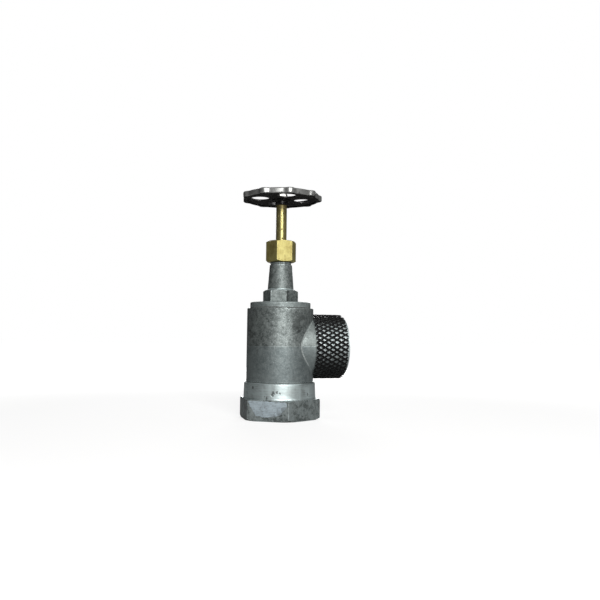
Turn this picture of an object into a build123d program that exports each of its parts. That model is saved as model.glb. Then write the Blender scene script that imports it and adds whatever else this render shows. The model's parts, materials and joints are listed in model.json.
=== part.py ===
from build123d import *
import math
import os

# Angle hose valve with a rising screw stem. Millimetres, Z up along the stem, X along the outlet,
# origin at the middle of the inlet mouth. The valve is drawn fully open.

# Pipe thread, inlet and outlet alike (G 2), drawn plain at its pitch diameter
pipe_thread_radius = 29.07
pipe_thread_height = 0.74
inlet_thread_depth = 21.0
inlet_mouth_chamfer = 1.0
inlet_relief_depth = 0.9
inlet_relief_height = 3.0

# Inlet hexagon and turned skirt
hex_height = 19.3
hex_corner_round = 1.0
hex_corner_bevel = 2.0
hex_foot_bevel = 3.4
skirt_height = 15.2
skirt_ledge = 0.4
skirt_flare = 0.55
skirt_step = 1.75
skirt_round = 1.3
skirt_foot_bell = 0.35
skirt_foot_height = 1.2
skirt_groove_depth = 0.5
skirt_groove_height = 0.9

# Outlet branch
outlet_length = 29.6
outlet_neck_relief = 0.57
outlet_neck_length = 2.6
outlet_wall = 4.5
outlet_root_fillet = 1.6
outlet_end_chamfer = 1.0

# Barrel
barrel_over_neck = 3.7
barrel_draft = 0.3
barrel_wall = 4.3
barrel_top_land = 6.0
barrel_top_round = 0.5

# Valve seat inside the barrel
seat_cone_height = 8.0
seat_floor_thickness = 4.0
seat_shelf_width = 5.3
seat_lip_width = 2.5
seat_lip_height = 4.0

# Net sleeve on the outlet thread
net_thickness = 1.35
net_clearance = 0.05
net_end_gap = 0.3
net_to_skirt = 2.8
net_rim_left_bare = 1.6
net_overlap_on_neck = 3.6
net_cells_round = 24
net_rows = 5
net_strand_width = 1.5
net_outer_band = 2.2

# Bonnet
bonnet_thread_inset = 1.2
bonnet_thread_length = 11.6
bonnet_plug_wall = 5.0
bonnet_flange_overhang = 2.7
bonnet_flange_height = 4.8
bonnet_flange_round = 1.0
bonnet_hex_flats = 29.3
bonnet_hex_height = 12.1
bonnet_hex_turn = -105.5
bonnet_roof = 3.0
bonnet_boss_length = 5.0
bonnet_boss_wall = 5.0
neck_height = 24.1
neck_top_radius = 10.8
neck_taper = 1.8
neck_foot_fillet = 0.8
gasket_thickness = 1.0

# Gland
gland_thread_radius = 9.9
gland_box_wall = 2.3
gland_box_depth = 15.0
gland_box_lift = 2.0
gland_box_floor = 6.0
packing_ring_height = 2.9
packing_ring_count = 3
packing_base_height = 1.5
follower_length = 5.6
follower_flange_height = 1.6
follower_flange_radius = 9.0
packing_nut_flats = 26.0
packing_nut_gap = 3.0
packing_nut_roof = 4.0
packing_nut_turn = -87.5

# Stem
stem_radius = 5.2
stem_exposed = 39.9
stem_thread_radius = 7.0
stem_thread_length = 42.0
stem_thread_lead = 4.0
stem_turns = 4.0
stem_back_gap = 1.0
stem_shank_radius = 6.0
stem_tail_radius = 7.0
stem_tail_length = 15.0
stem_groove_depth = 2.0
stem_groove_height = 4.0
stem_groove_up = 4.2
stem_square = 7.2
stem_stud_radius = 3.0
stem_stud_proud = 0.6

# Valve disc
disc_plate_thickness = 5.0
disc_rim_width = 2.0
disc_rim_drop = 3.0
disc_overhang = 0.7
disc_hub_wall = 5.0
disc_hub_height = 13.5
disc_seal_thickness = 5.0
disc_washer_radius = 10.0
disc_washer_thickness = 1.6
disc_screw_radius = 3.0
disc_screw_flats = 10.0
disc_screw_head = 4.0
disc_screw_bite = 4.2
retaining_pin_radius = 1.7

# Handwheel
wheel_lobes = 9
wheel_valley_radius = 36.6
wheel_lobe_rise = 2.7
wheel_lobe_radius = 5.5
wheel_valley_fillet = 6.0
wheel_rim_height = 5.8
wheel_rim_width = 3.2
wheel_edge_round = 1.4
wheel_web_thickness = 1.4
wheel_web_lift = 0.9
wheel_hub_radius = 8.9
wheel_boss_wall = 1.1
wheel_boss_drop = 4.5
wheel_boss_flare = 1.2
wheel_bridge = 3.5
wheel_holes = 4
wheel_hole_bevel = 0.35
wheel_turn = -90.0
wheel_washer_radius = 6.5
wheel_washer_thickness = 1.2
wheel_nut_flats = 10.0
wheel_nut_height = 3.2

# Fits
running_clearance = 0.05
seat_clearance = 0.1
loose_clearance = 0.2
hex_chamfer_slope = 0.55
nut_corner_share = 0.09
bevel = 0.4

# Radii that follow from the sizes above
crest_radius = pipe_thread_radius + pipe_thread_height
net_inner_radius = crest_radius + net_clearance
net_outer_radius = net_inner_radius + net_thickness
outlet_neck_radius = pipe_thread_radius - outlet_neck_relief
outlet_bore_radius = outlet_neck_radius - outlet_wall
barrel_radius = outlet_neck_radius + barrel_over_neck
barrel_top_radius = barrel_radius - barrel_draft
chamber_radius = barrel_top_radius - barrel_wall
skirt_top_radius = barrel_radius + skirt_step
skirt_foot_radius = skirt_top_radius + skirt_flare
hex_flats = 2 * (skirt_foot_radius + skirt_ledge)
throat_radius = chamber_radius - seat_shelf_width
lip_radius = throat_radius + seat_lip_width
disc_radius = lip_radius + disc_overhang
bonnet_thread_radius = chamber_radius - bonnet_thread_inset
bonnet_flange_radius = bonnet_thread_radius + bonnet_flange_overhang
stem_bore_radius = stem_radius + running_clearance
gland_box_radius = gland_thread_radius - gland_box_wall
wheel_boss_radius = stem_radius + wheel_boss_wall
outlet_reach = barrel_radius + outlet_length
net_row_pitch = outlet_length / (net_rows + 1)

# Heights that follow from the sizes above
skirt_top = hex_height + skirt_height
outlet_z = skirt_top + net_to_skirt + net_outer_radius
body_top = outlet_z + outlet_neck_radius + outlet_root_fillet + barrel_top_land
throat_foot = inlet_thread_depth + inlet_relief_height + seat_cone_height
chamber_floor = throat_foot + seat_floor_thickness
seat_top = chamber_floor + seat_lip_height
flange_foot = body_top + gasket_thickness
flange_top = flange_foot + bonnet_flange_height
bonnet_hex_top = flange_top + bonnet_hex_height
neck_top = bonnet_hex_top + neck_height
plug_foot = flange_foot - bonnet_thread_length
roof_under = flange_foot - bonnet_roof
boss_foot = roof_under - bonnet_boss_length
nut_foot = neck_top + packing_nut_gap
box_floor = neck_top + gland_box_lift
box_top = box_floor + gland_box_depth
thread_bore_top = box_floor - gland_box_floor
packing_foot = box_floor + packing_base_height
follower_foot = packing_foot + packing_ring_count * packing_ring_height
follower_shoulder = follower_foot + follower_length
follower_top = follower_shoulder + follower_flange_height
nut_top = follower_top + packing_nut_roof
wheel_foot = nut_top + stem_exposed
wheel_boss_foot = wheel_foot - wheel_boss_drop
wheel_seat = wheel_foot + wheel_web_lift + wheel_web_thickness
disc_lift = stem_thread_lead * stem_turns
seal_foot = seat_top + seat_clearance + disc_lift
plate_foot = seal_foot + disc_seal_thickness
plate_top = plate_foot + disc_plate_thickness
hub_top = plate_top + disc_hub_height
tail_foot = plate_top + loose_clearance
tail_top = tail_foot + stem_tail_length
groove_foot = tail_foot + stem_groove_up
stem_thread_top = thread_bore_top - stem_back_gap
stem_thread_foot = stem_thread_top - stem_thread_length


def rod(radius, low, high):
    return Pos(0, 0, low) * Cylinder(radius, high - low, align=(Align.CENTER, Align.CENTER, Align.MIN))


def taper(foot_radius, top_radius, low, high):
    upright = (Align.CENTER, Align.CENTER, Align.MIN)
    return Pos(0, 0, low) * Cone(foot_radius, top_radius, high - low, align=upright)


def ring(outer, inner, low, high):
    return rod(outer, low, high) - rod(inner, low - 1, high + 1)


def branch(radius, start, end):
    at_axis = Pos(start, 0, outlet_z) * Rot(0, 90, 0)
    return at_axis * Cylinder(radius, end - start, align=(Align.CENTER, Align.CENTER, Align.MIN))


def turned(points):
    outline = make_face(Polyline(*[(r, 0, z) for r, z in points], close=True))
    return revolve(outline, Axis.Z)


def hexagon(flats, low, high, corner_round=0.0):
    outline = RegularPolygon(flats / 2, 6, major_radius=False)
    if corner_round > 0:
        outline = fillet(outline.vertices(), corner_round)
    return Pos(0, 0, low) * extrude(outline, high - low)


def hex_blank(flats, low, high, trim, cut_top=True, cut_foot=False):
    # turned bevel that trims the corners of a hexagon
    corner_radius = flats / math.sqrt(3)
    face_radius = corner_radius - trim
    drop = (corner_radius - face_radius) * hex_chamfer_slope
    points = [(0, low)]
    if cut_foot:
        points += [(face_radius, low), (corner_radius, low + drop)]
    else:
        points += [(corner_radius, low)]
    if cut_top:
        points += [(corner_radius, high - drop), (face_radius, high)]
    else:
        points += [(corner_radius, high)]
    points += [(0, high)]
    return turned(points)


def spanner_hex(flats, low, high, cut_top=True, cut_foot=False):
    blank = hex_blank(flats, low, high, nut_corner_share * flats, cut_top, cut_foot)
    return hexagon(flats, low, high) & blank


def make_body():
    barrel = taper(barrel_radius, barrel_top_radius, hex_height, body_top)
    neck = branch(outlet_neck_radius, 0, outlet_reach)
    joined = barrel + neck
    root = new_edges(barrel, neck, combined=joined)
    casting = fillet(root, outlet_root_fillet)
    casting = fillet(casting.edges().group_by(Axis.Z)[-1], barrel_top_round)

    thread_start = outlet_reach - outlet_length + outlet_neck_length + outlet_root_fillet / 2
    spigot = branch(pipe_thread_radius, thread_start, outlet_reach)
    spigot = chamfer(spigot.edges().group_by(Axis.X)[-1], outlet_end_chamfer)
    skirt = taper(skirt_foot_radius, skirt_top_radius, hex_height, skirt_top)
    skirt = fillet(skirt.edges().group_by(Axis.Z)[-1], skirt_round)
    bell_top = hex_height + skirt_foot_height
    skirt = skirt + taper(skirt_foot_radius + skirt_foot_bell, skirt_foot_radius, hex_height, bell_top)
    groove_floor = barrel_radius - skirt_groove_depth
    groove = ring(skirt_top_radius, groove_floor, skirt_top, skirt_top + skirt_groove_height)
    inlet = Rot(0, 0, 30) * hexagon(hex_flats, 0, hex_height, hex_corner_round)
    inlet = inlet & hex_blank(hex_flats, 0, hex_height, hex_corner_bevel)
    inlet = inlet & hex_blank(hex_flats, 0, hex_height, hex_foot_bevel, cut_top=False, cut_foot=True)

    relief_radius = pipe_thread_radius + inlet_relief_depth
    relief_top = inlet_thread_depth + inlet_relief_height
    chamber_top = plug_foot - bonnet_thread_inset
    waterway = turned([
        (0, 0),
        (pipe_thread_radius + inlet_mouth_chamfer, 0),
        (pipe_thread_radius, inlet_mouth_chamfer),
        (pipe_thread_radius, inlet_thread_depth),
        (relief_radius, inlet_thread_depth),
        (relief_radius, relief_top),
        (throat_radius, throat_foot),
        (throat_radius, seat_top),
        (lip_radius, seat_top),
        (lip_radius, chamber_floor),
        (chamber_radius, chamber_floor),
        (chamber_radius, chamber_top),
        (bonnet_thread_radius, plug_foot),
        (bonnet_thread_radius, body_top),
        (0, body_top),
    ])
    outlet_bore = branch(outlet_bore_radius, 0, outlet_reach)
    return casting - groove + spigot + skirt + inlet - waterway - outlet_bore


def make_net():
    rise = outlet_neck_radius + outlet_root_fillet - net_inner_radius
    root_reach = barrel_radius + outlet_root_fillet - math.sqrt(max(outlet_root_fillet**2 - rise**2, 0))
    start = barrel_radius - net_overlap_on_neck
    end = outlet_reach - net_rim_left_bare
    sleeve = branch(net_outer_radius, start, end) - branch(net_inner_radius, start - 1, end + 1)
    sleeve = sleeve - rod(root_reach + net_end_gap, hex_height, body_top)

    half_round = math.pi * (net_inner_radius + net_outer_radius) / 2 / net_cells_round
    side = net_row_pitch * half_round / math.hypot(net_row_pitch, half_round)
    share = max(1 - net_strand_width / 2 / side, 0.1)
    half_length = net_row_pitch * share
    half_width = half_round * share
    cell = Polygon((-half_length, 0), (0, -half_width), (half_length, 0), (0, half_width))
    last = end - net_outer_band - half_length
    cells = []
    for row in range(net_rows):
        for place in range(net_cells_round):
            angle = 360 / net_cells_round * (place + row % 2 / 2)
            cutter = Pos(0, 0, net_inner_radius - 1) * extrude(cell, net_thickness + 2)
            cells.append(Pos(last - row * net_row_pitch, 0, outlet_z) * Rot(angle, 0, 0) * cutter)
    return sleeve - cells


def make_bonnet():
    plug = rod(bonnet_thread_radius - running_clearance, plug_foot, flange_foot)
    plug = chamfer(plug.edges().group_by(Axis.Z)[0], bevel)
    flange = rod(bonnet_flange_radius, flange_foot, flange_top)
    flange = fillet(flange.edges().group_by(Axis.Z)[-1], bonnet_flange_round)
    spanner = spanner_hex(bonnet_hex_flats, flange_top, bonnet_hex_top)
    spanner = Rot(0, 0, bonnet_hex_turn - 30) * spanner
    neck_foot_radius = neck_top_radius + neck_taper
    shape = spanner + taper(neck_foot_radius, neck_top_radius, bonnet_hex_top, neck_top)
    circles = shape.edges().filter_by(GeomType.CIRCLE)
    level = circles.filter_by_position(Axis.Z, bonnet_hex_top, bonnet_hex_top)
    foot = [edge for edge in level if abs(edge.radius - neck_foot_radius) < 0.01]
    shape = fillet(foot, neck_foot_fillet)
    thread = rod(gland_thread_radius, neck_top, box_top)
    thread = chamfer(thread.edges().group_by(Axis.Z)[-1], bevel)
    inside = bonnet_thread_radius - bonnet_plug_wall
    boss_radius = stem_thread_radius + bonnet_boss_wall
    bore = turned([
        (0, plug_foot),
        (inside, plug_foot),
        (inside, roof_under),
        (boss_radius, roof_under),
        (boss_radius, boss_foot),
        (stem_thread_radius + running_clearance, boss_foot),
        (stem_thread_radius + running_clearance, thread_bore_top),
        (stem_bore_radius, thread_bore_top),
        (stem_bore_radius, box_floor),
        (gland_box_radius, box_floor),
        (gland_box_radius, box_top),
        (0, box_top),
    ])
    return plug + flange + shape + thread - bore


def make_packing_nut():
    nut = spanner_hex(packing_nut_flats, nut_foot, nut_top, cut_foot=True)
    nut = Rot(0, 0, packing_nut_turn - 30) * nut
    nut = nut - rod(gland_thread_radius + running_clearance, nut_foot, follower_top)
    return nut - rod(stem_bore_radius + loose_clearance, follower_top, nut_top)


def make_follower():
    outer = gland_box_radius - running_clearance
    inner = stem_bore_radius + running_clearance
    flange_radius = min(follower_flange_radius, gland_thread_radius - loose_clearance)
    return ring(outer, inner, follower_foot, follower_shoulder) + ring(
        flange_radius, inner, follower_shoulder, follower_top
    )


def make_stem():
    square = extrude(Rectangle(stem_square, stem_square), wheel_seat - wheel_boss_foot)
    square = Pos(0, 0, wheel_boss_foot) * Rot(0, 0, wheel_turn) * square
    stud_top = wheel_seat + wheel_washer_thickness + wheel_nut_height + stem_stud_proud
    stud = rod(stem_stud_radius, wheel_seat, stud_top)
    stud = chamfer(stud.edges().group_by(Axis.Z)[-1], bevel)
    groove_radius = stem_tail_radius - stem_groove_depth
    shaft = turned([
        (0, tail_foot),
        (stem_tail_radius, tail_foot),
        (stem_tail_radius, groove_foot),
        (groove_radius, groove_foot),
        (groove_radius, groove_foot + stem_groove_height),
        (stem_tail_radius, groove_foot + stem_groove_height),
        (stem_tail_radius, tail_top),
        (stem_shank_radius, tail_top),
        (stem_shank_radius, stem_thread_foot),
        (stem_thread_radius, stem_thread_foot),
        (stem_thread_radius, stem_thread_top),
        (stem_radius, stem_thread_top),
        (stem_radius, wheel_boss_foot),
        (0, wheel_boss_foot),
    ])
    return shaft + square + stud


def pin_offset():
    return stem_tail_radius - stem_groove_depth + retaining_pin_radius + loose_clearance


def pin_height():
    return groove_foot + stem_groove_height / 2


def make_pin(side, radius, spare=0.0):
    reach = stem_tail_radius + disc_hub_wall
    half = math.sqrt(reach**2 - (pin_offset() + retaining_pin_radius) ** 2) + spare
    return Pos(side * pin_offset(), 0, pin_height()) * Rot(90, 0, 0) * Cylinder(radius, 2 * half)


def make_disc_holder():
    rim_inner = disc_radius - disc_rim_width
    socket_radius = stem_tail_radius + running_clearance
    holder = rod(disc_radius, plate_foot - disc_rim_drop, plate_top)
    holder = chamfer(holder.edges().group_by(Axis.Z)[-1], bevel)
    holder = holder - rod(rim_inner, plate_foot - disc_rim_drop - 1, plate_foot)
    holder = holder + rod(stem_tail_radius + disc_hub_wall, plate_foot, hub_top)
    holder = holder - rod(socket_radius, plate_top, hub_top)
    screw_hole_top = plate_foot + disc_screw_bite + bevel
    holder = holder - rod(disc_screw_radius + running_clearance, plate_foot, screw_hole_top)
    for side in (-1, 1):
        holder = holder - make_pin(side, retaining_pin_radius + running_clearance, 4.0)
    return holder


def make_disc_screw():
    washer_foot = seal_foot - disc_washer_thickness
    head = spanner_hex(disc_screw_flats, washer_foot - disc_screw_head, washer_foot, False, True)
    return head + rod(disc_screw_radius, washer_foot, plate_foot + disc_screw_bite)


def make_wheel():
    outline = Circle(wheel_valley_radius)
    tip_radius = wheel_valley_radius + wheel_lobe_rise - wheel_lobe_radius
    for place in PolarLocations(tip_radius, wheel_lobes):
        outline += place * Circle(wheel_lobe_radius)
    on_valley = [v for v in outline.vertices() if abs(math.hypot(v.X, v.Y) - wheel_valley_radius) < 0.001]
    outline = fillet(on_valley, wheel_valley_fillet)
    rim = extrude(outline, wheel_rim_height)
    rim = fillet(rim.edges().group_by(Axis.Z)[0] + rim.edges().group_by(Axis.Z)[-1], wheel_edge_round)

    rim_inner = wheel_valley_radius - wheel_rim_width
    web_top = wheel_web_lift + wheel_web_thickness
    rim = rim - ring(rim_inner, wheel_hub_radius, -1, wheel_web_lift)
    rim = rim - rod(rim_inner, web_top, wheel_rim_height + 1)
    hole_radius = (rim_inner - wheel_hub_radius) / 2 - wheel_bridge
    for place in PolarLocations((rim_inner + wheel_hub_radius) / 2, wheel_holes):
        rim = rim - place * rod(hole_radius, -1, wheel_rim_height + 1)
    holes = [
        edge
        for edge in rim.edges().filter_by(GeomType.CIRCLE)
        if abs(edge.radius - hole_radius) < 0.001
    ]
    rim = chamfer(holes, min(wheel_hole_bevel, 0.3 * wheel_web_thickness))
    # boss under the web, flared where it meets it
    boss = rod(wheel_boss_radius, -wheel_boss_drop, web_top)
    boss = chamfer(boss.edges().group_by(Axis.Z)[0], bevel)
    flare = taper(wheel_boss_radius, wheel_boss_radius + wheel_boss_flare, -wheel_boss_flare, 0)
    socket = stem_square + 2 * running_clearance
    square = extrude(Rectangle(socket, socket), web_top + wheel_boss_drop)
    rim = rim + boss + flare - Pos(0, 0, -wheel_boss_drop) * square
    return Pos(0, 0, wheel_foot) * Rot(0, 0, wheel_turn) * rim


def make_wheel_nut():
    foot = wheel_seat + wheel_washer_thickness
    nut = spanner_hex(wheel_nut_flats, foot, foot + wheel_nut_height)
    return nut - rod(stem_stud_radius + running_clearance, foot, foot + wheel_nut_height)


pieces = {
    "valve_body": make_body(),
    "outlet_net": make_net(),
    "bonnet": make_bonnet(),
    "bonnet_gasket": ring(
        bonnet_flange_radius, bonnet_thread_radius + running_clearance, body_top, flange_foot
    ),
    "packing_base_ring": ring(
        gland_box_radius - running_clearance, stem_bore_radius, box_floor, packing_foot
    ),
    "gland_follower": make_follower(),
    "packing_nut": make_packing_nut(),
    "stem": make_stem(),
    "disc_holder": make_disc_holder(),
    "retaining_pin_left": make_pin(-1, retaining_pin_radius),
    "retaining_pin_right": make_pin(1, retaining_pin_radius),
    "disc_seal": ring(
        disc_radius - disc_rim_width - running_clearance,
        disc_screw_radius + running_clearance,
        seal_foot,
        plate_foot,
    ),
    "disc_washer": ring(
        disc_washer_radius,
        disc_screw_radius + running_clearance,
        seal_foot - disc_washer_thickness,
        seal_foot,
    ),
    "disc_screw": make_disc_screw(),
    "handwheel": make_wheel(),
    "wheel_washer": ring(
        wheel_washer_radius, stem_stud_radius + loose_clearance, wheel_seat, wheel_seat + wheel_washer_thickness
    ),
    "wheel_nut": make_wheel_nut(),
}
for number in range(packing_ring_count):
    low = packing_foot + number * packing_ring_height
    pieces[f"packing_ring_{number + 1}"] = ring(
        gland_box_radius - running_clearance, stem_bore_radius, low, low + packing_ring_height
    )

os.makedirs("parts", exist_ok=True)
for name, shape in pieces.items():
    export_step(shape, f"parts/{name}.step")
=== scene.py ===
import json
import math
import random

import bpy
from mathutils import Matrix, Vector, noise
from mathutils.bvhtree import BVHTree


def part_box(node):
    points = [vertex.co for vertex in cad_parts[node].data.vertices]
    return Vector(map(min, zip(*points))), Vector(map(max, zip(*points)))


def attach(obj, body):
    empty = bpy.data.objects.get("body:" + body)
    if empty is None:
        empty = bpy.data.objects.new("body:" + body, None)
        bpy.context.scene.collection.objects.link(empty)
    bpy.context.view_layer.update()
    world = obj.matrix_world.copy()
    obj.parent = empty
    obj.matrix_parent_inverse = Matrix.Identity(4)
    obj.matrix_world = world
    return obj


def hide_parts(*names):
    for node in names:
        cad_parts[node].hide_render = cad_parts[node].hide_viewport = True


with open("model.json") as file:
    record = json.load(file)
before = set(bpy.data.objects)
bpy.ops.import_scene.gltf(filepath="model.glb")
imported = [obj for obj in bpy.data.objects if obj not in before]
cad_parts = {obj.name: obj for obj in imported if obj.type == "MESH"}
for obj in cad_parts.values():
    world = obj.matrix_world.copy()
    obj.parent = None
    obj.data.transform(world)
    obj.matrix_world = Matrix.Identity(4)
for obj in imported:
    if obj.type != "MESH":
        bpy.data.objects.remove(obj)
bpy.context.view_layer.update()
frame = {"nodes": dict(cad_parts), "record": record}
valveNodes = frame["nodes"]
mounts = {mount["name"]: mount for mount in frame["record"]["mounts"]}
mm = 0.001
scene = bpy.context.scene
scene.view_settings.view_transform = "Standard"
print("valve loaded,", len(valveNodes), "solids")

# sizes read from the solids and the mounts
bodyLow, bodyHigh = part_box("valve_body")
netLow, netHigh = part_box("outlet_net")
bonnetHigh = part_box("bonnet")[1]
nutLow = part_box("packing_nut")[0]
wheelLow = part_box("handwheel")[0]
outletEnd = Vector(mounts["outlet_thread"]["pos_m"])
pipeRadius = mounts["inlet_thread"]["dims"]["r_mm"] * mm  # thread's pitch radius
inletMouth = mounts["inlet_thread"]["pos_m"][2]
inletDepth = mounts["inlet_thread"]["dims"]["length_mm"] * mm
up = Vector((0, 0, 1))


# a node socket that can be used in sums
class Wire:
    def __init__(self, graph, socket):
        self.graph, self.socket = graph, socket

    # another output of the same node
    def pick(self, output):
        return Wire(self.graph, self.socket.node.outputs[output])

    def maths(self, operation, first, second=0.0):
        return self.graph.add("ShaderNodeMath", {"operation": operation}, {0: first, 1: second})

    def larger(self, other):
        return self.maths("MAXIMUM", self, other)

    def smaller(self, other):
        return self.maths("MINIMUM", self, other)

    def sine(self):
        return self.maths("SINE", self)

    def __add__(self, other):
        return self.maths("ADD", self, other)

    def __radd__(self, other):
        return self.maths("ADD", other, self)

    def __sub__(self, other):
        return self.maths("SUBTRACT", self, other)

    def __rsub__(self, other):
        return self.maths("SUBTRACT", other, self)

    def __mul__(self, other):
        return self.maths("MULTIPLY", self, other)

    def __rmul__(self, other):
        return self.maths("MULTIPLY", other, self)

    def __pow__(self, other):
        return self.maths("POWER", self, other)

    def __rpow__(self, other):
        return self.maths("POWER", other, self)

    def __abs__(self):
        return self.maths("ABSOLUTE", self)


class Graph:
    def __init__(self, tree):
        self.tree = tree
        tree.nodes.clear()

    # any node: its settings go in first, then the values or links of its sockets
    def add(self, kind, settings=None, sockets=None, output=0):
        node = self.tree.nodes.new(kind)
        for name, value in (settings or {}).items():
            if name == "stops":
                while len(node.color_ramp.elements) < len(value):
                    node.color_ramp.elements.new(1.0)
                for element, (position, colour) in zip(node.color_ramp.elements, value):
                    element.position = position
                    element.color = colour
            else:
                setattr(node, name, value)
        for name, value in (sockets or {}).items():
            if isinstance(value, Wire):
                self.tree.links.new(value.socket, node.inputs[name])
            else:
                node.inputs[name].default_value = value
        return Wire(self, node.outputs[output] if node.outputs else None)

    def step(self, value, low, high):
        return self.add("ShaderNodeMapRange", {"interpolation_type": "SMOOTHSTEP"},
                        {0: value, 1: low, 2: high})

    def band(self, value, low, high, soft):
        return self.step(value, low - soft, low + soft) * (1 - self.step(value, high - soft, high + soft))

    def mix(self, factor, first, second):
        return self.add("ShaderNodeMix", {"data_type": "RGBA"}, {0: factor, 6: first, 7: second}, 2)

    def ramp(self, value, stops):
        return self.add("ShaderNodeValToRGB", {"stops": stops}, {0: value})

    # how far a direction points the other's way
    def facing(self, first, second):
        return self.add("ShaderNodeVectorMath", {"operation": "DOT_PRODUCT"}, {0: first, 1: second}, "Value")


class Finish(Graph):
    # constants are set straight on the shader's own sockets
    def __init__(self, name, **constants):
        self.material = bpy.data.materials.new(name)
        self.material.use_nodes = True
        super().__init__(self.material.node_tree)
        shader = self.add("ShaderNodeBsdfPrincipled")
        self.shader = shader.socket.node
        for key, value in constants.items():
            self.shader.inputs[key.replace("_", " ")].default_value = value
        self.add("ShaderNodeOutputMaterial", None, {"Surface": shader})
        self.place = self.add("ShaderNodeTexCoord", None, None, "Object")
        split = self.add("ShaderNodeSeparateXYZ", None, {0: self.place})
        self.x, self.y, self.z = split, split.pick(1), split.pick(2)

    def feed(self, **links):
        for key, wire in links.items():
            self.tree.links.new(wire.socket, self.shader.inputs[key.replace("_", " ")])

    def stretch(self, alongX, alongY, alongZ):
        scale = (alongX, alongY, alongZ)
        return self.add("ShaderNodeVectorMath", {"operation": "MULTIPLY"}, {0: self.place, 1: scale})

    def grain(self, scale, detail=3.0, roughness=0.55, distortion=0.0, vector=None):
        return self.add("ShaderNodeTexNoise", None, {
            "Vector": vector or self.place, "Scale": scale, "Detail": detail,
            "Roughness": roughness, "Distortion": distortion})

    def pits(self, scale):
        return self.add("ShaderNodeTexVoronoi", None, {"Vector": self.place, "Scale": scale})

    # 1 along sharp edges, 0 on open faces
    def edges(self, radius, low=0.004, high=0.05):
        rounded = self.add("ShaderNodeBevel", {"samples": 4}, {"Radius": radius})
        plain = self.add("ShaderNodeNewGeometry", None, None, "Normal")
        return self.step(1 - self.facing(rounded, plain), low, high)

    # 1 in corners and hollows, by ambient occlusion: where dirt stays and where shade falls, used for
    # painted shade
    def hollows(self, reach, low=0.15, high=0.75):
        clear = self.add("ShaderNodeAmbientOcclusion", {"samples": 6}, {"Distance": reach}, "AO")
        return self.step(1 - clear, low, high)

    # 1 inside the listed spots, each a middle and a reach in mm
    def patches(self, spots, ragged, core=0.45):
        mask = 0 * self.z
        for middle, reach in spots:
            off = self.add("ShaderNodeVectorMath", {"operation": "DISTANCE"},
                           {0: self.place, 1: [size * mm for size in middle]}, "Value")
            mask = mask.larger(1 - self.step(off + ragged, core * reach * mm, reach * mm))
        return mask

    # height is in millimetres
    def relief(self, height):
        bump = self.add("ShaderNodeBump", None, {"Strength": 1.0, "Distance": mm, "Height": height})
        self.feed(Normal=bump)


# cast alloy: tones first, then places
castLook = {
    "dark": (0.13, 0.15, 0.148, 1), "mid": (0.25, 0.283, 0.279, 1), "pale": (0.38, 0.425, 0.42, 1),
    "cool": (0.262, 0.312, 0.325, 1), "hexagon": (0.44, 0.50, 0.51, 1), "turned": (0.86, 0.99, 1.0, 1),
    # stain darkens real stains and also paints shade in hollows and under the net; soot darkens dirt in the
    # knocks and paints shade down the bonnet's corner
    "stainAndShade": (0.06, 0.067, 0.064, 1), "sootAndShade": (0.02, 0.0225, 0.0225, 1), "underNet": (0.82, 0.92, 0.935, 1),
    "ringFoot": 19.7 * mm, "ringTop": 34.4 * mm, "turnPitch": 0.55 * mm,
    "neckFoot": 17.9 * mm,  # bonnet's neck, above the body's top
    # along the branch, from the valve's axis or back from the outlet's end
    "neckRoot": 20 * mm, "neckSoft": 1.5 * mm, "spigot": 29.4 * mm, "spigotSoft": 0.3 * mm,
    "endFace": (-0.5 * mm, -0.2 * mm), "boreMouth": (-13 * mm, -12 * mm),
    # out from the branch's own axis
    "inWall": (27.4 * mm, 28.0 * mm), "neckReach": (29.5 * mm, 31 * mm),
    "spigotReach": (30.2 * mm, 30.6 * mm),
    # painted shade under the net lies below the first pair and above the second
    "netShadeLow": (-20 * mm, 2 * mm), "netShadeHigh": (15 * mm, 25 * mm),
    # painted shade: the turned bands are painted duller beyond these places, toward the left and right sides
    "shadeLeft": (-34 * mm, -18 * mm), "shadeRight": (18 * mm, 30 * mm),
    # knocks on the skirt: middle in mm, reach in mm
    "knocks": [((-13.5, -31.5, 24.5), 1.5), ((-12.6, -31.8, 25.6), 1.5), ((-9.5, -32.8, 26.7), 1.1),
               ((-7.2, -33.5, 26.1), 1.0), ((-20.2, -27.8, 21.9), 1.3), ((-19.0, -28.6, 21.1), 1.3),
               ((-29.2, -17.6, 30.5), 1.5), ((21.0, -27.3, 24.0), 1.1), ((5.0, 34.0, 27.0), 1.6),
               ((6.4, 33.7, 27.9), 1.3), ((-31.0, 14.5, 23.5), 1.5)],
    # painted shade: dark dented spots down one corner of the bonnet's hexagon
    "cornerShade": [((3.3 + 0.1 * (row % 3), -16.1, 111.6 + 1.1 * row), 1.5) for row in range(9)],
    # old water marks on the barrel
    "smears": [((12.6, -29.4, 95.0), 7.0), ((9.0, -30.8, 88.0), 5.0), ((-15.0, 28.3, 84.0), 8.0),
               ((-30.0, -11.0, 78.0), 6.0)]}


# the branch's neck, threaded spigot, end face and bore mouth, each as a mask
def maskBranch(cast, offAxis, look):
    branch = cast.step(cast.x, look["spigot"] - look["spigotSoft"], look["spigot"] + look["spigotSoft"])
    branch = branch * (1 - cast.step(offAxis, *look["spigotReach"]))
    neck = cast.band(cast.x, look["neckRoot"], look["spigot"], look["neckSoft"])
    neck = neck * (1 - cast.step(offAxis, *look["neckReach"]))
    endFace = branch * cast.step(cast.x, *(outletEnd.x + back for back in look["endFace"]))
    wall = cast.step(offAxis, *look["inWall"])
    spigot = branch * wall * (1 - endFace)
    boreMouth = branch * (1 - wall) * (1 - endFace)
    boreMouth = boreMouth * cast.step(cast.x, *(outletEnd.x + back for back in look["boreMouth"]))
    return neck, spigot, endFace, boreMouth
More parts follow.
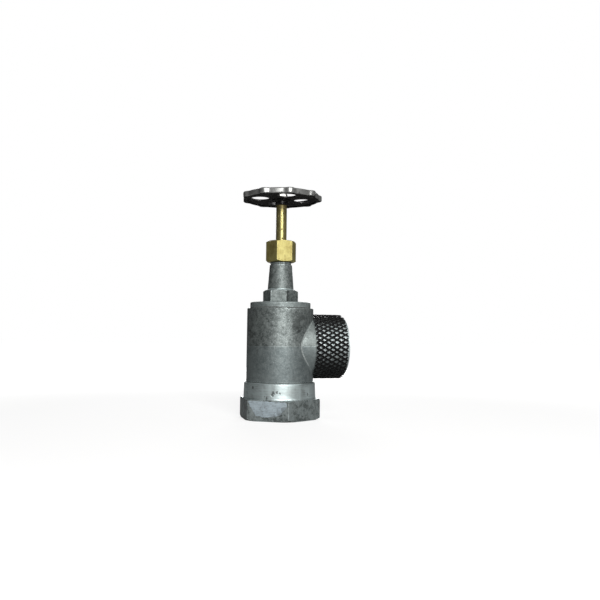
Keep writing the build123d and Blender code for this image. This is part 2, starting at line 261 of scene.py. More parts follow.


# the knocks hold a share of dark colour, dirt in the body's knocks and painted shade down the bonnet's
# corner, and their edges wander by a ragged length
def makeCastAlloy(name, turnedBands, rough, knocks, dirtAndShade, ragged, smears=(), look=castLook):
    cast = Finish(name, Specular_IOR_Level=0.4)
    blotch = cast.grain(62, 5, 0.62, 1.2)
    mottle = cast.grain(300, 5, 0.65, 0.3)
    speck = cast.grain(1300, 3, 0.6)
    fleck = cast.pits(620).pick("Color")
    patchy = 0.6 * mottle + 0.4 * blotch
    tone = 0.25 * mottle + 0.33 * blotch + 0.33 * speck + 0.09 * fleck
    skin = cast.ramp(tone, [(0.415, look["dark"]), (0.49, look["mid"]), (0.58, look["pale"])])
    # painted glints: bright specks here and there, mixed into the colour toward bare metal in place of
    # sparkle
    paintedGlint = cast.step(speck, 0.6, 0.7) * cast.step(mottle, 0.46, 0.56)
    skin = cast.mix(0.5 * paintedGlint, skin, look["turned"])
    # the lower half of the mould left a cooler, duller skin, and the hexagon is paler in patches
    lowerHalf = 1 - cast.step(cast.z + 0.002 * blotch, outletEnd.z + 0.5 * mm, outletEnd.z + 1.5 * mm)
    hexagon = 1 - cast.step(cast.z, look["ringFoot"] - 1 * mm, look["ringFoot"])
    skin = cast.mix(0.5 * lowerHalf * (1 - 0.8 * hexagon), skin, look["cool"])
    skin = cast.mix(0.7 * hexagon * cast.step(patchy, 0.44, 0.6), skin, look["hexagon"])
    streaks = cast.grain(1, 4, 0.6, 0.4, cast.stretch(120, 120, 22))
    stains = cast.step(streaks, 0.54, 0.68) * cast.step(blotch, 0.44, 0.62)
    skin = cast.mix(0.55 * stains, skin, look["stainAndShade"])
    # the branch's neck gets a paler skin, a painted highlight for light from above, and what was turned on a
    # lathe is bare bright metal
    rise = cast.z - outletEnd.z
    offAxis = (cast.y * cast.y + rise * rise) ** 0.5
    neck, spigot, endFace, boreMouth = maskBranch(cast, offAxis, look)
    turned = spigot + endFace + 0.7 * boreMouth
    # painted shade: turned bands are painted duller toward the left and right sides
    sideShade = 1 - cast.step(cast.x, *look["shadeLeft"]) + cast.step(cast.x, *look["shadeRight"])
    for low, high, share in turnedBands:
        turned = turned.larger(share * cast.band(cast.z, low, high, 0.15 * mm) * (1 - 0.35 * sideShade))
    # tool marks run round the valve's axis, or round the branch's on its end face and in its bore
    mouth = endFace + boreMouth
    feed = (1 - mouth) * cast.z + endFace * offAxis + boreMouth * cast.x
    scratch = cast.grain(1, 3, 0.6, 0.0, cast.add("ShaderNodeCombineXYZ", None, {
        0: 60 * (1 - mouth) * cast.x, 1: 60 * cast.y, 2: 2600 * feed}))
    bright = cast.mix(cast.step(0.45 * scratch + 0.55 * blotch, 0.28, 0.6), look["pale"], look["turned"])
    # painted highlight: the neck's skin is mixed toward the pale tone
    skin = cast.mix(0.35 * neck, skin, look["pale"])
    skin = cast.mix(0.92 * turned, skin, bright)
    # edges are painted brighter: wear, and a painted highlight where rounded edges would catch the light
    edgeWearAndHighlight = cast.edges(0.9 * mm) * cast.step(patchy, 0.3, 0.55)
    skin = cast.mix(0.7 * edgeWearAndHighlight, skin, look["turned"])
    marks = cast.patches(smears, 0.03 * (blotch - 0.5) + 0.012 * (mottle - 0.5))
    skin = cast.mix(0.42 * marks, skin, look["stainAndShade"])
    # dirt in the body's knocks, and painted shade in the bonnet's dark spots
    dents = cast.patches(knocks, ragged * (cast.grain(420, 2, 0.5) - 0.5))
    skin = cast.mix(dirtAndShade * dents, skin, look["sootAndShade"])
    # painted shade under the net, low on the spigot and along its top, where the light falls off
    netShade = 1 - cast.step(rise, *look["netShadeLow"]) + cast.step(rise, *look["netShadeHigh"])
    under = cast.mix(0.95 * netShade, look["underNet"], look["stainAndShade"])
    skin = cast.mix(0.9 * spigot, skin, under)
    # the ring's foot and the barrel's top get less dirt and painted shade than other corners
    fainterHollows = cast.band(cast.z, look["ringFoot"] - 3 * mm, look["ringFoot"] + 2 * mm, 1 * mm)
    fainterHollows = fainterHollows.larger(cast.band(cast.z, bodyHigh.z - 2 * mm, bodyHigh.z + 3 * mm, 1 * mm))
    # dirt and painted shade: the skin is darkened in hollows and corners by ambient occlusion
    grimeAndShade = cast.hollows(4 * mm) * (1 - spigot) * (1 - 0.7 * fainterHollows)
    skin = cast.mix(0.75 * grimeAndShade, skin, look["stainAndShade"])
    dullness = rough + 0.2 * (mottle - 0.5) - 0.08 * edgeWearAndHighlight + 0.15 * grimeAndShade - 0.03 * turned
    cast.feed(
        Base_Color=skin,
        Metallic=0.72 + 0.18 * turned + 0.1 * edgeWearAndHighlight - 0.3 * stains - 0.3 * grimeAndShade - 0.6 * spigot,
        Roughness=dullness + 0.07 * lowerHalf * (1 - turned) + 0.12 * neck)
    lathe = (feed * (2 * math.pi / look["turnPitch"])).sine()
    skinRelief = 0.2 * mottle + 0.06 * speck + 0.1 * cast.step(cast.pits(260), 0.0, 0.35)
    cast.relief((1 - 0.85 * turned) * skinRelief + 0.008 * turned * lathe - 0.2 * dents)
    return cast.material


brassLook = {
    "deep": (0.27, 0.207, 0.062, 1), "mid": (0.465, 0.405, 0.15, 1), "clear": (0.64, 0.585, 0.245, 1),
    # tarnish darkens the pits and also paints shade in hollows and under the wheel; crept is how far under
    # the wheel the painted shadow reaches
    "tarnishAndShade": (0.13, 0.09, 0.03, 1), "dull": (0.25, 0.225, 0.13, 1), "shadowDrop": 8 * mm}


# aged is how far the metal has gone dull
def makeBrass(name, pitting, aged, rough, look=brassLook):
    brass = Finish(name)
    cloud = brass.grain(140, 4, 0.6, 0.5)
    fine = brass.grain(900, 4, 0.65)
    drawn = brass.grain(1, 3, 0.6, 0.0, brass.stretch(900, 900, 90))
    tone = 0.45 * cloud + 0.25 * fine + 0.3 * drawn
    metal = brass.ramp(tone, [(0.33, look["deep"]), (0.47, look["mid"]), (0.64, look["clear"])])
    spots = brass.step(brass.grain(620, 3, 0.55, 0.6), 0.55, 0.66) * brass.step(cloud, 0.38, 0.52)
    spots = pitting * spots
    # edges are painted brighter: wear, and a painted highlight where rounded edges would catch the light
    edgeWearAndHighlight = brass.edges(0.7 * mm) * brass.step(fine, 0.35, 0.55)
    # painted shadow: the stem darkens for a span under the wheel, where the wheel's shadow falls
    wheelShadow = brass.step(brass.z, wheelLow.z - look["shadowDrop"], wheelLow.z)
    # dirt and painted shade in hollows, joined by the painted shadow under the wheel
    grimeAndShade = brass.hollows(4 * mm).larger(0.8 * wheelShadow)
    metal = brass.mix(aged, metal, look["dull"])
    metal = brass.mix(0.6 * edgeWearAndHighlight, metal, look["clear"])
    metal = brass.mix(0.85 * spots, metal, look["tarnishAndShade"])
    metal = brass.mix(0.75 * grimeAndShade, metal, look["tarnishAndShade"])
    brass.feed(
        Base_Color=metal,
        Metallic=0.78 - 0.3 * spots - 0.3 * grimeAndShade,
        Roughness=rough + 0.25 * (fine - 0.4) + 0.25 * spots + 0.2 * grimeAndShade - 0.08 * edgeWearAndHighlight)
    brass.relief(0.05 * fine + 0.03 * drawn - 0.12 * spots)
    return brass.material


enamelLook = {
    "coat": (0.010, 0.010, 0.011, 1), "thin": (0.024, 0.024, 0.024, 1), "bare": (0.30, 0.29, 0.28, 1),
    "dust": (0.012, 0.011, 0.010, 1), "rubbed": (0.56, 0.57, 0.56, 1), "grip": (35.2 * mm, 36.6 * mm)}


def makeEnamel(name, look=enamelLook):
    enamel = Finish(name, Specular_IOR_Level=0.4)
    cloud = enamel.grain(110, 4, 0.6, 0.4)
    orange = enamel.grain(420, 2, 0.5)
    fine = enamel.grain(1500, 3, 0.6)
    normal = enamel.add("ShaderNodeTexCoord", None, None, "Normal")
    lift = enamel.add("ShaderNodeSeparateXYZ", None, {0: normal}).pick(2)  # 1 where the face looks up
    under = 1 - enamel.step(lift, -0.85, -0.35)
    chips = enamel.edges(0.8 * mm) * enamel.step(0.6 * cloud + 0.4 * fine, 0.5, 0.6)
    coat = enamel.mix(enamel.step(cloud, 0.4, 0.7), look["coat"], look["thin"])
    # hands have rubbed the outer wall of the rim down to grey metal, in patches
    outward = (enamel.x * enamel.x + enamel.y * enamel.y) ** 0.5
    rubbed = enamel.step(outward, *look["grip"]) * (1 - enamel.step(abs(lift), 0.35, 0.9))
    rubbed = rubbed * enamel.step(0.7 * cloud + 0.3 * fine, 0.36, 0.56)
    coat = enamel.mix(0.35 * under, coat, look["dust"])
    coat = enamel.mix(0.85 * rubbed, coat, look["rubbed"])
    coat = enamel.mix(0.8 * chips, coat, look["bare"])
    enamel.feed(
        Base_Color=coat,
        Metallic=(0.8 * rubbed).larger(0.7 * chips),
        Roughness=0.2 + 0.16 * cloud + 0.75 * under + 0.1 * rubbed + 0.15 * chips)
    enamel.relief(0.10 * orange + 0.015 * fine - 0.05 * chips)
    return enamel.material


netLook = {"black": (0.004, 0.004, 0.0045, 1), "grey": (0.013, 0.013, 0.013, 1)}


def makeNetPlastic(name, look=netLook):
    net = Finish(name, Specular_IOR_Level=0.22)
    haze = net.grain(260, 4, 0.6)
    drawn = net.grain(1800, 2, 0.5)
    scuffs = net.step(0.7 * haze + 0.3 * drawn, 0.52, 0.66)
    net.feed(Base_Color=net.mix(scuffs, look["black"], look["grey"]), Roughness=0.45 + 0.25 * haze)
    net.relief(0.03 * drawn + 0.03 * haze)
    return net.material


# dirt darkens the hollows as dirt and painted shade
zincLook = {"dull": (0.30, 0.30, 0.285, 1), "clear": (0.62, 0.62, 0.60, 1), "dirtAndShade": (0.07, 0.065, 0.055, 1)}


def makeZinc(name, look=zincLook):
    zinc = Finish(name)
    spangle = zinc.pits(900).pick("Color")
    cloud = zinc.grain(300, 4, 0.6)
    # edges are painted brighter: wear, and a painted highlight where rounded edges would catch the light
    edgeWearAndHighlight = zinc.edges(0.4 * mm)
    # dirt and painted shade: darkened in hollows by ambient occlusion
    grimeAndShade = zinc.hollows(2.5 * mm)
    tone = zinc.mix(0.55 * cloud + 0.35 * spangle, look["dull"], look["clear"])
    tone = zinc.mix(0.5 * edgeWearAndHighlight, tone, look["clear"])
    tone = zinc.mix(0.7 * grimeAndShade, tone, look["dirtAndShade"])
    zinc.feed(Base_Color=tone, Metallic=0.95 - 0.4 * grimeAndShade, Roughness=0.32 + 0.25 * cloud)
    zinc.relief(0.04 * cloud + 0.02 * spangle)
    return zinc.material


softLooks = {
    "sealRubber": {
        "dark": (0.012, 0.012, 0.012, 1), "pale": (0.035, 0.034, 0.033, 1), "grain": 400, "rough": 0.62},
    "gasketFibre": {
        "dark": (0.09, 0.092, 0.09, 1), "pale": (0.19, 0.192, 0.186, 1), "grain": 700, "rough": 0.85},
    "graphitePacking": {
        "dark": (0.03, 0.03, 0.03, 1), "pale": (0.09, 0.09, 0.092, 1), "grain": 900, "rough": 0.55}}


def makeSoft(name):
    look = softLooks[name]
    soft = Finish(name, Specular_IOR_Level=0.35)
    fibre = soft.grain(look["grain"], 5, 0.7, 0.8)
    fine = soft.grain(4 * look["grain"], 3)
    tone = soft.mix(soft.step(0.6 * fibre + 0.4 * fine, 0.35, 0.65), look["dark"], look["pale"])
    soft.feed(Base_Color=tone, Roughness=look["rough"] + 0.2 * (fibre - 0.5))
    soft.relief(0.1 * fibre + 0.04 * fine)
    return soft.material


# rubbed or ground metal: low and high are the ends of its tone, and the listed spots are places in mm where
# shade is painted with the dirt colour
groundLooks = {
    "groundPatch": {
        "low": (0.43, 0.51, 0.565, 1), "high": (0.71, 0.83, 0.90, 1), "dirtAndShade": (0.2, 0.225, 0.24, 1),
        "shadedSpots": [((-7.6, -35.6, 7.5), 4.0), ((-4.5, -37.2, 10.0), 3.5), ((-12.0, -33.3, 5.6), 2.5)]},
    "groundSeamAndHighlight": {
        "low": (0.36, 0.405, 0.40, 1), "high": (0.60, 0.665, 0.655, 1), "dirtAndShade": (0.2, 0.225, 0.24, 1),
        "shadedSpots": []}}


def makeGround(name):
    look = groundLooks[name]
    ground = Finish(name)
    lines = ground.grain(1, 3, 0.65, 0.1, ground.stretch(160, 160, 2400))
    cloud = ground.grain(260, 4, 0.6)
    smudge = ground.grain(150, 5, 0.65, 0.8)
    tone = ground.mix(ground.step(0.6 * lines + 0.4 * cloud, 0.36, 0.64), look["low"], look["high"])
    # painted shade along the scar's lower right edge, with dirt smudges from noise
    shadedSpots = ground.patches(look["shadedSpots"], 0.02 * (smudge - 0.5))
    tone = ground.mix(0.5 * ground.step(smudge, 0.52, 0.66) + 0.6 * shadedSpots, tone, look["dirtAndShade"])
    ground.feed(Base_Color=tone, Metallic=0.3 + 0.2 * cloud, Roughness=0.45 + 0.2 * lines)
    ground.relief(0.05 * lines + 0.05 * cloud)
    return ground.material


# each turned band: from, to, how bright
turnedOnBody = [
    (bodyLow.z - 2 * mm, bodyLow.z + 0.6 * mm, 1.0), (castLook["ringFoot"], castLook["ringTop"], 1.0)]
neckFoot = bodyHigh.z + castLook["neckFoot"]
turnedOnBonnet = [
    (bonnetHigh.z - 0.4 * mm, bonnetHigh.z + 2 * mm, 1.0), (bodyHigh.z - 1 * mm, bodyHigh.z + 6 * mm, 0.25),
    # the band at the neck's foot is turned metal and also a painted highlight where the hexagon's top
    # catches the light
    (neckFoot - 0.2 * mm, neckFoot + 1.1 * mm, 0.8)]
# by node where it has its own, and otherwise by slot
finishes = {
    "valve_body": makeCastAlloy("castBody", turnedOnBody, rough=0.48, knocks=castLook["knocks"], dirtAndShade=0.62,
                                ragged=6 * mm, smears=castLook["smears"]),
    "bonnet": makeCastAlloy("castBonnet", turnedOnBonnet, rough=0.62, knocks=castLook["cornerShade"], dirtAndShade=0.9,
                            ragged=1 * mm),
    "stem": makeBrass("stemBrass", pitting=1.0, aged=0.3, rough=0.33),
    "brass": makeBrass("turnedBrass", pitting=0.25, aged=0.0, rough=0.47),
    "black_enamel": makeEnamel("wheelEnamel"),
    "net_plastic": makeNetPlastic("netPlastic"),
    "zinc_steel": makeZinc("zincPlate"),
    "seal_rubber": makeSoft("sealRubber"),
    "gasket_fibre": makeSoft("gasketFibre"),
    "packing": makeSoft("graphitePacking")}
slotOf = {piece["node"]: piece["material_slot"] for piece in frame["record"]["subparts"]}
for node, solid in valveNodes.items():
    finish = finishes.get(node) or finishes[slotOf[node]]
    solid.data.materials.clear()
    solid.data.materials.append(finish)
    solid.data.polygons.foreach_set("material_index", [0] * len(solid.data.polygons))
print("finishes on", len(valveNodes), "solids")


# a piece of the scene's own on the housing, with edges sharp beyond an angle in degrees
def addPiece(name, points, faces, finish, sharp):
    mesh = bpy.data.meshes.new(name)
    mesh.from_pydata(points, [], faces)
    mesh.polygons.foreach_set("use_smooth", [True] * len(faces))
    mesh.set_sharp_from_angle(angle=math.radians(sharp))
    mesh.materials.append(finish)
    piece = bpy.data.objects.new(name, mesh)
    scene.collection.objects.link(piece)
    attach(piece, "housing")
    return piece


# skins a row of closed rings into tube faces, with both ends capped
def skinRings(rings, points, faces):
    size = len(rings[0])
    start = len(points)
    for ring in rings:
        points.extend(ring)
    for row in range(len(rings) - 1):
        for side in range(size):
            low = start + row * size
            after = (side + 1) % size
            faces.append((low + side, low + after, low + size + after, low + size + side))
    faces.append(tuple(start + side for side in reversed(range(size))))
    faces.append(tuple(start + (len(rings) - 1) * size + side for side in range(size)))


def surfaceOf(node):
    return BVHTree.FromObject(valveNodes[node], bpy.context.evaluated_depsgraph_get())


# black net sleeve: two families of strands, one laid over the other
# slopes are radians round the outlet for each metre along it
netSettings = {
    "strands": 41, "slopes": (19.6, -18.2), "width": 1.72 * mm, "height": 0.66 * mm, "fuse": 0.1 * mm,
    "steps": 26, "sides": 8, "ragged": 0.45 * mm, "saddle": 32.7 * mm, "seed": 7,
    "spacing": 0.06, "widths": (0.94, 1.06), "sway": 0.006, "swayRate": 9, "swayStart": 6.3,
    "endSqueeze": 0.55}


# the sleeve stops against the barrel, so the strand's foot follows the saddle
def strandFoot(turn, slope, layer):
    foot = netLow.x
    for _ in range(6):
        clear = netSettings["saddle"] ** 2 - (layer * math.sin(turn + slope * foot)) ** 2
        foot = max(netLow.x, math.sqrt(max(clear, 0)))
    return foot


def makeNetSleeve():
    cut = netSettings
    rand = random.Random(cut["seed"])
    outside = (netHigh.z - netLow.z) / 2
    height = cut["height"]
    layers = (outside - 1.5 * height + cut["fuse"], outside - height / 2)
    points, faces = [], []
    for slope, layer in zip(cut["slopes"], layers):
        lean = math.atan(layer * slope)
        for strand in range(cut["strands"]):
            turn = 2 * math.pi * (strand + rand.uniform(-cut["spacing"], cut["spacing"])) / cut["strands"]
            wide = cut["width"] * rand.uniform(*cut["widths"])
            end = netHigh.x - abs(rand.gauss(0, 1)) * cut["ragged"]
            wobble = rand.uniform(0, cut["swayStart"])
            foot = strandFoot(turn, slope, layer)
            rings = []
            for step in range(cut["steps"] + 1):
                share = step / cut["steps"]
                x = foot + (end - foot) * share
                angle = turn + slope * x + cut["sway"] * math.sin(cut["swayRate"] * share + wobble)
                squeeze = cut["endSqueeze"] if step in (0, cut["steps"]) else 1.0
                ring = []
                for side in range(cut["sides"]):
                    around = 2 * math.pi * side / cut["sides"]
                    across = squeeze * wide / 2 * math.cos(around)
                    radius = layer + squeeze * height / 2 * math.sin(around)
                    bent = angle + across * math.cos(lean) / layer
                    ring.append((x - across * math.sin(lean), radius * math.sin(bent),
                                 outletEnd.z + radius * math.cos(bent)))
                rings.append(ring)
            skinRings(rings, points, faces)
    sleeve = addPiece("netSleeve", points, faces, finishes["net_plastic"], 40)
    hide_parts("outlet_net")


makeNetSleeve()
print("net sleeve laid")

threadSettings = {
    "pipePitch": 2.309 * mm, "pipeFlank": 0.72 * mm, "pipeSteps": 72, "outletFoot": 38.0 * mm,
    "outletStop": 1.6 * mm, "inletClear": 1.7 * mm, "glandRoot": 9.9 * mm, "glandPitch": 1.5 * mm,
    "glandFlank": 0.5 * mm, "glandSteps": 48, "glandRise": 0.9 * mm, "glandShort": 1.2 * mm,
    "besideGland": 0.5 * mm,
    "sink": 0.06 * mm, "runOut": 0.4, "runOutLeast": 0.02}  # run-out in turns, and what is left at its end


# a screw thread as one ridge wound round an axis from its foot
# flank is the ridge's height above the root: negative for a thread inside a bore
def windThread(name, foot, axis, length, root, flank, pitch, finish, perTurn):
    cut = threadSettings
    axis = Vector(axis)
    side = up if abs(axis.x) > 0.5 else Vector((1, 0, 0))
    across = axis.cross(side)
    count = int(length / pitch * perTurn)
    fadeSteps = cut["runOut"] * perTurn
    sink = -cut["sink"] if flank > 0 else cut["sink"]
    # the ridge's section: share of the pitch, height
    section = [(-0.47, sink), (-0.40, 0.0), (-0.10, flank), (0.10, flank), (0.40, 0.0), (0.47, sink)]
    points, faces, rings = [], [], []
    for step in range(count + 1):
        turn = 2 * math.pi * step / perTurn
        along = pitch * step / perTurn
        least = cut["runOutLeast"]
        fade = min(1.0, step / fadeSteps + least, (count - step) / fadeSteps + least)
        ring = []
        for offset, height in section:
            radius = root + (height * fade if height * flank > 0 else height)
            centre = Vector(foot) + axis * (along + offset * pitch)
            ring.append(centre + radius * (math.cos(turn) * side + math.sin(turn) * across))
        rings.append(ring if flank > 0 else ring[::-1])
    skinRings(rings, points, faces)
    addPiece(name, points, faces, finish, 30)


# the shoulder under the gland thread, found by a ray dropped beside it
def bonnetGlandFoot():
    beside = threadSettings["glandRoot"] + threadSettings["besideGland"]
    return surfaceOf("bonnet").ray_cast(Vector((beside, 0, nutLow.z)), -up)[0].z


def cutThreads():
    cut = threadSettings
    foot = (cut["outletFoot"], 0, outletEnd.z)
    length = outletEnd.x - cut["outletStop"] - cut["outletFoot"]
    windThread("outletThread", foot, (1, 0, 0), length, pipeRadius, cut["pipeFlank"], cut["pipePitch"],
               finishes["valve_body"], cut["pipeSteps"])
    foot = (0, 0, inletMouth + cut["inletClear"])
    length = inletDepth - 2 * cut["inletClear"]
    windThread("inletThread", foot, up, length, pipeRadius, -cut["pipeFlank"], cut["pipePitch"],
               finishes["valve_body"], cut["pipeSteps"])
    # the gland's thread shows in the gap under the packing nut
    gapFoot = bonnetGlandFoot()
    foot = (0, 0, gapFoot + cut["glandRise"])
    length = nutLow.z - gapFoot - cut["glandShort"]
    windThread("glandThread", foot, up, length, cut["glandRoot"], cut["glandFlank"], cut["glandPitch"],
               finishes["bonnet"], cut["glandSteps"])


cutThreads()
print("threads cut")

# the mould's parting line: a low ragged fin, with its height and width on the barrel and on the neck
finSettings = {
    "onBarrel": (0.03 * mm, 0.34 * mm), "onNeck": (0.2 * mm, 0.6 * mm), "sink": 0.05 * mm, "crest": 0.3,
    "far": 90 * mm, "barrelSteps": 100, "barrelStep": 1.2, "neckSteps": 40, "neckFrom": 15.5 * mm,
    "leastStep": 0.25 * mm, "backStep": 0.1 * mm, "driftKept": 0.7, "drift": 0.05,
    "heights": (0.45, 1.15), "widths": (0.8, 1.2), "seed": 11}


# rays onto one side of the casting: round the barrel from opposite the outlet, then along the neck
def finRays(hand):
    cut = finSettings
    rays = []
    for step in range(cut["barrelSteps"] + 1):
        angle = hand * math.radians(180 - cut["barrelStep"] * step)
        out = Vector((math.cos(angle), math.sin(angle), 0))
        rays.append((out * cut["far"] + up * outletEnd.z, -out, cut["onBarrel"]))
    for step in range(cut["neckSteps"] + 1):
        x = cut["neckFrom"] + (netLow.x - cut["neckFrom"]) * step / cut["neckSteps"]
        rays.append((Vector((x, hand * cut["far"], outletEnd.z)), Vector((0, -hand, 0)), cut["onNeck"]))
    return rays


def makePartingFin():
    cut = finSettings
    shell = surfaceOf("valve_body")
    rand = random.Random(cut["seed"])
    points, faces = [], []
    for hand in (-1, 1):
        rings = []
        last = None
        drift = 0.0
        for origin, way, (tall, wide) in finRays(hand):
            hit, normal, _, _ = shell.ray_cast(origin, way)
            if hit is None:
                continue
            if last is not None:
                if (hit - last).length < cut["leastStep"] or hit.x < last.x - cut["backStep"]:
                    continue
            last = hit
            drift = cut["driftKept"] * drift + rand.uniform(-cut["drift"], cut["drift"]) * mm
            proud = normal * tall * rand.uniform(*cut["heights"])
            half = up * wide / 2 * rand.uniform(*cut["widths"])
            sunk = normal * cut["sink"]
            crest = half * cut["crest"]
            centre = hit + up * drift
            ring = [centre - half - sunk, centre - crest + proud,
                    centre + crest + proud, centre + half - sunk]
            rings.append(ring if hand > 0 else ring[::-1])
        skinRings(rings, points, faces)
    addPiece("partingFin", points, faces, finishes["valve_body"], 60)


makePartingFin()

# a ridge where the branch's mould met the barrel's, ground paler than the skin, which also paints a
# highlight along the crease, swept in degrees round the branch's axis
seamSettings = {
    "neck": 28.5 * mm, "barrel": 32.05 * mm, "inset": 0.3 * mm, "sweep": (-40, 58), "steps": 80,
    "width": 2.4 * mm, "proud": 0.2 * mm, "sink": 0.06 * mm, "crest": 0.25, "far": 20 * mm, "near": 3 * mm,
    "fadeRate": 6, "widths": (0.85, 1.15), "heights": (0.7, 1.15), "seed": 23}


# points along the branch's root on one side, each with its normal and the ridge's share of its height
def seamTrack(hand, shell):
    cut = seamSettings
    low, high = cut["sweep"]
    track = []
    for step in range(cut["steps"] + 1):
        share = step / cut["steps"]
        turn = math.radians(low + (high - low) * share)
        y = hand * cut["neck"] * math.cos(turn)
        x = math.sqrt(cut["barrel"] ** 2 - y * y) - cut["inset"]
        spot = Vector((x, y, outletEnd.z + cut["neck"] * math.sin(turn)))
        offBarrel = Vector((x, y, 0)).normalized()
        out = (offBarrel + Vector((0, hand * math.cos(turn), math.sin(turn)))).normalized()
        hit, normal, _, _ = shell.ray_cast(spot + out * cut["far"], -out)
        if hit is not None and (hit - spot).length < cut["near"]:
            track.append((hit, normal, min(1.0, cut["fadeRate"] * share, cut["fadeRate"] * (1 - share))))
    return track


def makeBranchSeam():
    cut = seamSettings
    shell = surfaceOf("valve_body")
    rand = random.Random(cut["seed"])
    points, faces = [], []
    for hand in (-1, 1):
        track = seamTrack(hand, shell)
        rings = []
        for place in range(1, len(track) - 1):
            centre, normal, fade = track[place]
            along = (track[place + 1][0] - track[place - 1][0]).normalized()
            side = normal.cross(along) * cut["width"] / 2 * rand.uniform(*cut["widths"])
            lift = normal * cut["proud"] * (0.1 + 0.9 * fade) * rand.uniform(*cut["heights"])
            sunk = normal * cut["sink"]
            crest = cut["crest"] * side
            rings.append([centre + side - sunk, centre + crest + lift,
                          centre - crest + lift, centre - side - sunk])
        skinRings(rings, points, faces)
    addPiece("branchSeam", points, faces, makeGround("groundSeamAndHighlight"), 70)


makeBranchSeam()

# where the gate was sawn off and ground: a thin pad on one flat of the inlet hexagon
# toward is in degrees round the valve, outline in mm: along the flat from its middle, height above the foot
scarSettings = {
    "toward": -118, "level": 8 * mm, "far": 90 * mm, "proud": 0.28 * mm, "sink": 0.05 * mm, "perSide": 7,
    "ragged": 0.8, "waves": 0.5, "slice": 3.7, "jitter": 0.3, "seed": 5,
    "insets": (0.0, 0.1, 0.8), "shoulder": 0.6,
    "outline": [(-18.4, 18.3), (-17.6, 15.2), (-14.6, 9.6), (-11.2, 5.2), (-6.0, 4.2), (-1.5, 3.9),
                (2.8, 4.4), (7.2, 5.0), (10.6, 6.2), (13.6, 8.6), (15.9, 11.0), (17.6, 13.6),
                (18.4, 16.4), (17.4, 18.1), (9.0, 18.5), (0.0, 18.3), (-9.0, 18.6)]}


# the outline with a wandering edge
def scarEdge(outline, middle):
    cut = scarSettings
    rand = random.Random(cut["seed"])
    edge = []
    for corner, after in zip(outline, outline[1:] + outline[:1]):
        for step in range(cut["perSide"]):
            spot = corner.lerp(after, step / cut["perSide"])
            wander = noise.noise(Vector((cut["waves"] * spot.x, cut["waves"] * spot.y, cut["slice"])))
            wander += cut["jitter"] * rand.uniform(-1, 1)
            edge.append(spot + (spot - middle).normalized() * cut["ragged"] * wander)
    return edge


def makeGateScar():
    cut = scarSettings
    angle = math.radians(cut["toward"])
    out = Vector((math.cos(angle), math.sin(angle), 0))
    hit, normal, _, _ = surfaceOf("valve_body").ray_cast(out * cut["far"] + up * cut["level"], -out)
    flatMiddle = normal * hit.dot(normal)  # straight out from the axis
    across = up.cross(normal)
    outline = [Vector(corner) for corner in cut["outline"]]
    middle = sum(outline, Vector((0, 0))) / len(outline)
    edge = scarEdge(outline, middle)
    lifts = (-cut["sink"], cut["shoulder"] * cut["proud"], cut["proud"])
    rings = []
    for inset, lift in zip(cut["insets"], lifts):
        ring = []
        for spot in edge:
            drawn = spot + (middle - spot).normalized() * inset
            ring.append(flatMiddle + across * drawn.x * mm + up * drawn.y * mm + normal * lift)
        rings.append(ring)
    points, faces = [], []
    skinRings(rings, points, faces)
    addPiece("gateScar", points, faces, makeGround("groundPatch"), 25)


makeGateScar()
print("parting fin, branch seam and gate scar set")

# angles in degrees, lens and sensor in mm
cameraSettings = {
    "distance": 648 * mm, "azimuth": -12.5, "eye": 78 * mm, "pitch": 3.12, "yaw": -1.67, "roll": 0.58,
    "lens": 40.18, "sensor": 36, "clip": (0.01, 50)}


def setCamera():
    cut = cameraSettings
    turn = math.radians(cut["azimuth"])
    lens = bpy.data.cameras.new("camera")
    lens.lens = cut["lens"]
    lens.sensor_width = cut["sensor"]
    lens.clip_start, lens.clip_end = cut["clip"]
    camera = bpy.data.objects.new("camera", lens)
    aim = (Matrix.Rotation(turn + math.radians(cut["yaw"]), 4, "Z")
           @ Matrix.Rotation(math.radians(90 + cut["pitch"]), 4, "X")
           @ Matrix.Rotation(math.radians(cut["roll"]), 4, "Z"))
    spot = Vector((math.sin(turn), -math.cos(turn), 0)) * cut["distance"] + up * cut["eye"]
    camera.matrix_world = Matrix.Translation(spot) @ aim
    scene.collection.objects.link(camera)
    scene.camera = camera


setCamera()

# all lamps look at one place in the middle of the valve
lampTarget = Vector((0, 0, 0.11))
lampSettings = {
    "key": {"spot": (0.02, -0.95, 0.48), "size": (0.36, 0.4), "power": 7.8, "tint": (1.0, 0.99, 0.97)},
    "top": {"spot": (0.15, 0.1, 1.1), "size": (0.6, 0.6), "power": 1.0, "tint": (1.0, 1.0, 1.0)},
    "rear": {"spot": (0.21, 0.95, 0.36), "size": (0.4, 0.4), "power": 5.5, "tint": (1.0, 1.0, 1.0)}}


def hangLamps():
    for name, cut in lampSettings.items():
        lamp = bpy.data.lights.new(name, "AREA")
        lamp.shape = "RECTANGLE"
        lamp.size, lamp.size_y = cut["size"]
        lamp.energy = cut["power"]
        lamp.color = cut["tint"]
        holder = bpy.data.objects.new(name, lamp)
        holder.location = cut["spot"]
        aim = lampTarget - Vector(cut["spot"])
        holder.rotation_euler = aim.to_track_quat("-Z", "Y").to_euler()
        scene.collection.objects.link(holder)


hangLamps()

studioSettings = {
    "ambient": 0.02, "sides": 0.045, "lean": 0.04, "ceiling": 0.25, "overhead": (0.4, 0.9),
    "front": (0.8, 0.98), "frontLevel": 0.65, "behind": (0.975, 0.995),
    "floorReach": 6.0, "floorTone": 0.32, "ownWhite": 0.80, "glossShare": 0.09, "fade": (0.25, 0.7)}


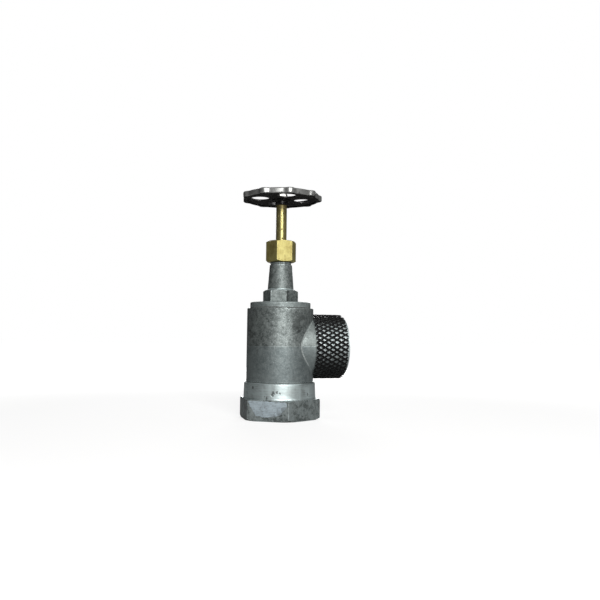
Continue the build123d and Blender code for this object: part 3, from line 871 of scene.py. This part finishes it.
# white for the camera; metal sees pale in front, white behind, a grey ceiling and dark sides
def buildSky():
    cut = studioSettings
    world = bpy.data.worlds.new("studio")
    world.use_nodes = True
    sky = Graph(world.node_tree)
    way = sky.add("ShaderNodeTexCoord", None, None, "Generated")
    turn = math.radians(cameraSettings["azimuth"])
    ahead = sky.facing(way, (math.sin(turn), -math.cos(turn), 0))
    right = sky.facing(way, (math.cos(turn), math.sin(turn), 0))
    above = sky.add("ShaderNodeSeparateXYZ", None, {0: way}).pick(2)
    room = cut["sides"] + cut["lean"] * right + cut["ceiling"] * sky.step(above, *cut["overhead"])
    room = room + cut["frontLevel"] * sky.step(ahead, *cut["front"]) + sky.step(0 - ahead, *cut["behind"])
    path = sky.add("ShaderNodeLightPath", None, None, "Is Camera Ray")
    shiny = path.pick("Is Glossy Ray") + path.pick("Is Transmission Ray")
    shiny = shiny.smaller(1.0) * (1 - path)
    plain = (1 - path) * (1 - shiny)
    strength = path + shiny * room.smaller(1.0) + cut["ambient"] * plain
    light = sky.add("ShaderNodeBackground", None, {"Color": (1, 1, 1, 1), "Strength": strength})
    sky.add("ShaderNodeOutputWorld", None, {"Surface": light})
    scene.world = world


# mostly its own white, so that it meets the background, with the valve's shadow left on it
def layFloor():
    cut = studioSettings
    paint = bpy.data.materials.new("paleFloor")
    paint.use_nodes = True
    floorGraph = Graph(paint.node_tree)
    place = floorGraph.add("ShaderNodeTexCoord", None, None, "Object")
    reach = floorGraph.add("ShaderNodeVectorMath", {"operation": "LENGTH"}, {0: place}, "Value")
    far = floorGraph.step(reach, *cut["fade"])
    tone = cut["floorTone"]
    plain = floorGraph.add("ShaderNodeBsdfDiffuse", None, {"Color": (tone, tone, tone, 1)})
    glow = floorGraph.add("ShaderNodeEmission", None, {"Color": (1, 1, 1, 1), "Strength": 1.0})
    path = floorGraph.add("ShaderNodeLightPath", None, None, "Is Camera Ray")
    shiny = path.pick("Is Glossy Ray") + path.pick("Is Transmission Ray")
    share = path * (cut["ownWhite"] + (1 - cut["ownWhite"]) * far) + cut["glossShare"] * shiny
    veil = floorGraph.add("ShaderNodeMixShader", None, {0: share, 2: glow})
    both = floorGraph.add("ShaderNodeAddShader", None, {0: plain, 1: veil})
    floorGraph.add("ShaderNodeOutputMaterial", None, {"Surface": both})
    half = cut["floorReach"]
    corners = [(-half, -half, 0), (half, -half, 0), (half, half, 0), (-half, half, 0)]
    sheet = bpy.data.meshes.new("floor")
    sheet.from_pydata(corners, [], [(0, 1, 2, 3)])
    sheet.materials.append(paint)
    floor = bpy.data.objects.new("floor", sheet)
    scene.collection.objects.link(floor)


buildSky()
layFloor()
print("camera, lamps and floor set")
